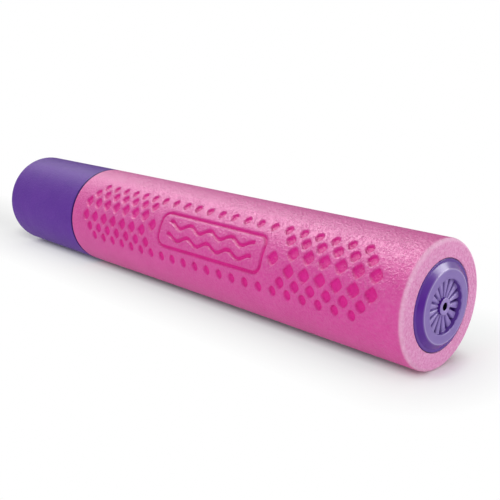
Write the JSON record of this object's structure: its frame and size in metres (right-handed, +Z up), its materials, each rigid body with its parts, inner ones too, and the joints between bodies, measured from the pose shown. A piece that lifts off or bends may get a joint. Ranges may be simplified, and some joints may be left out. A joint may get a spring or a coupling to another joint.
{
  "type": "foam water squirter",
  "caption": "Hand pump water squirter: a foam-sleeved tube with a ribbed nozzle at the front and a sliding, free-turning plunger with a foam grip at the rear.",
  "frame": {"origin": "middle of the pump's length and width, on the surface that it lies on", "axes": "+X along the pump towards the nozzle, +Z up, -Y the side that the picture shows"},
  "size_m": [0.3378, 0.0598, 0.0598],
  "materials": {
    "pink_foam": "fine-grained closed-cell foam with pressed diamonds",
    "purple_foam": "smooth satin foam",
    "purple_plastic": "gloss moulded",
    "white_plastic": "semi-gloss extruded",
    "grey_plastic": "satin moulded",
    "black_rubber": "matte",
    "steel": "satin"
  },
  "bodies": {
    "barrel": {"foam_sleeve": "pink_foam", "barrel_tube": "white_plastic", "nozzle": "purple_plastic", "nozzle_ring": "black_rubber", "rear_bush": "white_plastic", "bush_bumper": "black_rubber"},
    "piston": {"piston_head": "grey_plastic", "piston_ring_front": "black_rubber", "piston_ring_rear": "black_rubber"},
    "plunger": {"piston_screw": "steel", "screw_washer": "black_rubber", "rod_front_plug": "grey_plastic", "plunger_rod": "white_plastic", "handle_core": "purple_plastic", "handle_pin": "steel", "handle_grip": "purple_foam", "handle_end_cap": "purple_plastic"}
  },
  "joints": [
    {"name": "pump_slide", "type": "slide", "parent": "barrel", "child": "piston", "axis": [-1, 0, 0], "range_m": [0, 0.188]},
    {"name": "handle_turn", "type": "hinge", "parent": "piston", "child": "plunger", "pos_m": [0, 0, 0.0299], "axis": [1, 0, 0], "continuous": true}
  ]
}
